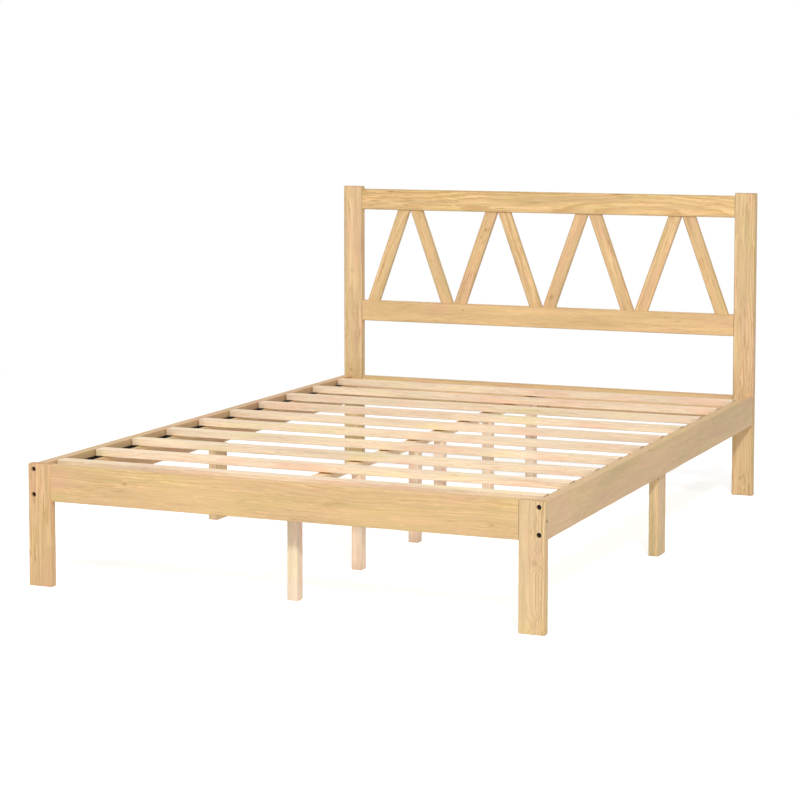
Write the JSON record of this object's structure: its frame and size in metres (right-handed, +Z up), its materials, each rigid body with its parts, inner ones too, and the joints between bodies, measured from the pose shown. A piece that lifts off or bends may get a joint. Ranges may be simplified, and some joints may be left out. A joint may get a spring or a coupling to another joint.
{
  "type": "platform bed",
  "caption": "Low slatted platform bed in pale wood, flat uprights, plain rails, open headboard with a zigzag of sloping slats between two rails, centre beam on square legs.",
  "frame": {"origin": "on the floor under the middle of the bed's box", "axes": "+Y from the foot to the headboard, +Z up, +X to the right seen from the foot"},
  "size_m": [1.384, 1.968, 0.937],
  "materials": {
    "pale_wood": "satin clear coat, open grain",
    "slat_wood": "sanded, unfinished",
    "black_steel": "black oxide",
    "zinc_steel": "zinc plated",
    "grip_tape": "black felt tape"
  },
  "bodies": {
    "root": {"beam_cleat_foot": "pale_wood", "beam_cleat_head": "pale_wood", "bed_bolts": "black_steel", "bed_slat_1": "slat_wood", "bed_slat_10": "slat_wood", "bed_slat_2": "slat_wood", "bed_slat_3": "slat_wood", "bed_slat_4": "slat_wood", "bed_slat_5": "slat_wood", "bed_slat_6": "slat_wood", "bed_slat_7": "slat_wood", "bed_slat_8": "slat_wood", "bed_slat_9": "slat_wood", "centre_beam_foot": "pale_wood", "centre_beam_head": "pale_wood", "centre_leg_1": "pale_wood", "centre_leg_2": "pale_wood", "centre_leg_3": "pale_wood", "centre_leg_4": "pale_wood", "centre_leg_5": "pale_wood", "centre_leg_6": "pale_wood", "foot_leg_left": "pale_wood", "foot_leg_right": "pale_wood", "foot_rail": "pale_wood", "foot_rail_screws": "black_steel", "grip_tape_left": "grip_tape", "grip_tape_right": "grip_tape", "head_rail": "pale_wood", "headboard_middle_rail": "pale_wood", "headboard_post_left": "pale_wood", "headboard_post_right": "pale_wood", "headboard_top_rail": "pale_wood", "side_leg_left": "pale_wood", "side_leg_right": "pale_wood", "side_rail_left": "pale_wood", "side_rail_right": "pale_wood", "slat_ledger_left": "pale_wood", "slat_ledger_right": "pale_wood", "square_nuts": "zinc_steel", "zigzag_slat_1": "pale_wood", "zigzag_slat_2": "pale_wood", "zigzag_slat_3": "pale_wood", "zigzag_slat_4": "pale_wood", "zigzag_slat_5": "pale_wood", "zigzag_slat_6": "pale_wood", "zigzag_slat_7": "pale_wood", "zigzag_slat_8": "pale_wood"}
  },
  "joints": []
}
